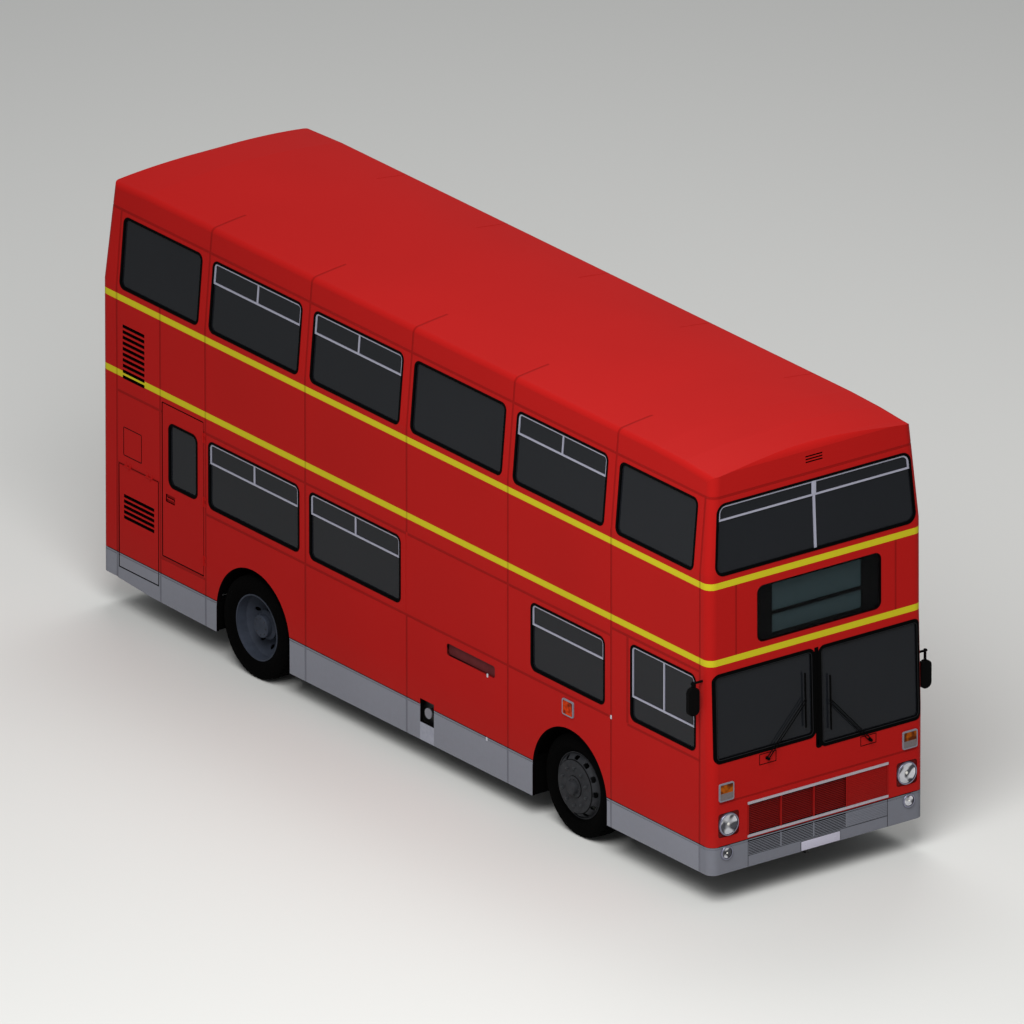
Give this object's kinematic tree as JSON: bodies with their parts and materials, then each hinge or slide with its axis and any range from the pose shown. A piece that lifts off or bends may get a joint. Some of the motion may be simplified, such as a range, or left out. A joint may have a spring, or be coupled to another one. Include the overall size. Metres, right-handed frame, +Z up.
{
  "type": "double decker bus",
  "caption": "Double-deck city bus with folding front entrance doors, rear engine, steered front wheels and twin rear wheels; its doors, engine covers and steering move.",
  "frame": {"origin": "on the ground, at the centre of the overall box in plan", "axes": "+X forward, +Y to the bus's left, +Z up"},
  "size_m": [9.61, 2.84, 4.3859],
  "materials": {
    "red_paint": "gloss coach enamel",
    "grey_paint": "satin coach enamel",
    "black_steel": "semi-matt chassis paint",
    "wheel_paint": "satin wheel enamel",
    "cast_steel": "oily forged and cast metal",
    "bright_frame": "satin anodised",
    "door_frame": "dark anodised",
    "clear_glass": "tinted float glass",
    "lamp_glass": "ribbed lamp glass",
    "amber_lens": "moulded lens",
    "red_lens": "moulded lens",
    "tyre": "matt rubber",
    "black_plastic": "grained moulding",
    "floor_covering": "ribbed safety flooring",
    "seat_cloth": "moquette",
    "fuel_tank_steel": "semi-matt",
    "black_rubber": "extruded glazing rubber",
    "grille_trim": "gloss enamel"
  },
  "bodies": {
    "bus_body": {"chassis_frame": "black_steel", "lower_floor": "floor_covering", "wheel_boxes": "black_steel", "upper_floor": "floor_covering", "staircase": "floor_covering", "roof": "red_paint", "offside_lower_wall": "red_paint", "nearside_lower_wall": "red_paint", "offside_upper_wall": "red_paint", "nearside_upper_wall": "red_paint", "front_lower_panel": "red_paint", "front_upper_panel": "red_paint", "rear_lower_panel": "red_paint", "rear_upper_panel": "red_paint", "front_bumper": "grey_paint", "side_skirts": "grey_paint", "rear_bumper": "grey_paint", "windscreen": "clear_glass", "saloon_glass": "clear_glass", "window_frames": "black_rubber", "hopper_frames": "bright_frame", "destination_box": "black_plastic", "front_grille": "grille_trim", "headlamps": "lamp_glass", "indicator_lamps": "amber_lens", "tail_lamps": "red_lens", "engine": "cast_steel", "fuel_tank": "fuel_tank_steel", "front_axle": "cast_steel", "suspension": "cast_steel", "rear_axle": "cast_steel", "passenger_seats": "seat_cloth", "driver_cab": "black_plastic", "driver_seat": "seat_cloth", "mirrors": "black_plastic", "wipers": "black_plastic"},
    "left_knuckle": {"front_left_knuckle": "cast_steel"},
    "right_knuckle": {"front_right_knuckle": "cast_steel"},
    "steering_rod": {"track_rod": "cast_steel"},
    "left_front_wheel": {"front_left_wheel": "wheel_paint", "front_left_tyre": "tyre"},
    "right_front_wheel": {"front_right_wheel": "wheel_paint", "front_right_tyre": "tyre"},
    "left_rear_wheels": {"rear_left_wheels": "wheel_paint", "rear_left_tyres": "tyre"},
    "right_rear_wheels": {"rear_right_wheels": "wheel_paint", "rear_right_tyres": "tyre"},
    "steering_handwheel": {"steering_wheel": "black_plastic"},
    "offside_emergency_door": {"emergency_door": "red_paint", "emergency_door_glass": "clear_glass"},
    "side_engine_door": {"engine_side_door": "red_paint"},
    "rear_engine_cover": {"engine_cover": "red_paint"},
    "door_leaf_1": {"entrance_leaf_1": "door_frame", "entrance_glass_1": "clear_glass"},
    "door_leaf_2": {"entrance_leaf_2": "door_frame", "entrance_glass_2": "clear_glass"},
    "door_leaf_3": {"entrance_leaf_3": "door_frame", "entrance_glass_3": "clear_glass"},
    "door_leaf_4": {"entrance_leaf_4": "door_frame", "entrance_glass_4": "clear_glass"}
  },
  "joints": [
    {"name": "left_steer", "type": "hinge", "parent": "bus_body", "child": "left_knuckle", "pos_m": [2.585, 0.85, 0.51], "axis": [0, 0, 1], "range_deg": [-38, 38]},
    {"name": "right_steer", "type": "hinge", "parent": "bus_body", "child": "right_knuckle", "pos_m": [2.585, -0.85, 0.51], "axis": [0, 0, 1], "range_deg": [-38, 38]},
    {"name": "track_rod_pivot", "type": "hinge", "parent": "left_knuckle", "child": "steering_rod", "pos_m": [2.365, 0.85, 0.37], "axis": [0, 0, 1], "range_deg": [-38, 38]},
    {"name": "handwheel_turn", "type": "hinge", "parent": "bus_body", "child": "steering_handwheel", "pos_m": [4.105, -0.76, 1.44], "axis": [-0.4226, 0, 0.9063], "range_deg": [-690, 690]},
    {"name": "left_front_wheel_spin", "type": "hinge", "parent": "left_knuckle", "child": "left_front_wheel", "pos_m": [2.585, 1.035, 0.51], "axis": [0, 1, 0], "continuous": true},
    {"name": "right_front_wheel_spin", "type": "hinge", "parent": "right_knuckle", "child": "right_front_wheel", "pos_m": [2.585, -1.035, 0.51], "axis": [0, 1, 0], "continuous": true},
    {"name": "left_rear_wheels_spin", "type": "hinge", "parent": "bus_body", "child": "left_rear_wheels", "pos_m": [-2.37, 0.94, 0.51], "axis": [0, 1, 0], "continuous": true},
    {"name": "right_rear_wheels_spin", "type": "hinge", "parent": "bus_body", "child": "right_rear_wheels", "pos_m": [-2.37, -0.94, 0.51], "axis": [0, 1, 0], "continuous": true},
    {"name": "emergency_door_hinge", "type": "hinge", "parent": "bus_body", "child": "offside_emergency_door", "pos_m": [-3.149, -1.256, 1.5], "axis": [0, 0, 1], "range_deg": [0, 110]},
    {"name": "engine_side_door_hinge", "type": "hinge", "parent": "bus_body", "child": "side_engine_door", "pos_m": [-4.177, -1.256, 1.518], "axis": [-1, 0, 0], "range_deg": [0, 85]},
    {"name": "engine_cover_hinge", "type": "hinge", "parent": "bus_body", "child": "rear_engine_cover", "pos_m": [-4.771, 0, 1.483], "axis": [0, 1, 0], "range_deg": [0, 75]},
    {"name": "front_leaves_fold", "type": "hinge", "parent": "bus_body", "child": "door_leaf_1", "pos_m": [4.46, 1.206, 1.3], "axis": [0, 0, 1], "range_deg": [0, 86]},
    {"name": "leaf_2_hinge", "type": "hinge", "parent": "door_leaf_1", "child": "door_leaf_2", "pos_m": [4.1785, 1.246, 1.3], "axis": [0, 0, 1], "range_deg": [-172, 0]},
    {"name": "rear_leaves_fold", "type": "hinge", "parent": "bus_body", "child": "door_leaf_4", "pos_m": [3.32, 1.206, 1.3], "axis": [0, 0, -1], "range_deg": [0, 86]},
    {"name": "leaf_3_hinge", "type": "hinge", "parent": "door_leaf_4", "child": "door_leaf_3", "pos_m": [3.6015, 1.246, 1.3], "axis": [0, 0, -1], "range_deg": [-172, 0]}
  ],
  "couplings": [
    {"joint": "right_steer", "follows": "left_steer", "ratio": 1},
    {"joint": "track_rod_pivot", "follows": "left_steer", "ratio": -1},
    {"joint": "handwheel_turn", "follows": "left_steer", "ratio": 18},
    {"joint": "leaf_2_hinge", "follows": "front_leaves_fold", "ratio": -2},
    {"joint": "leaf_3_hinge", "follows": "rear_leaves_fold", "ratio": -2}
  ]
}
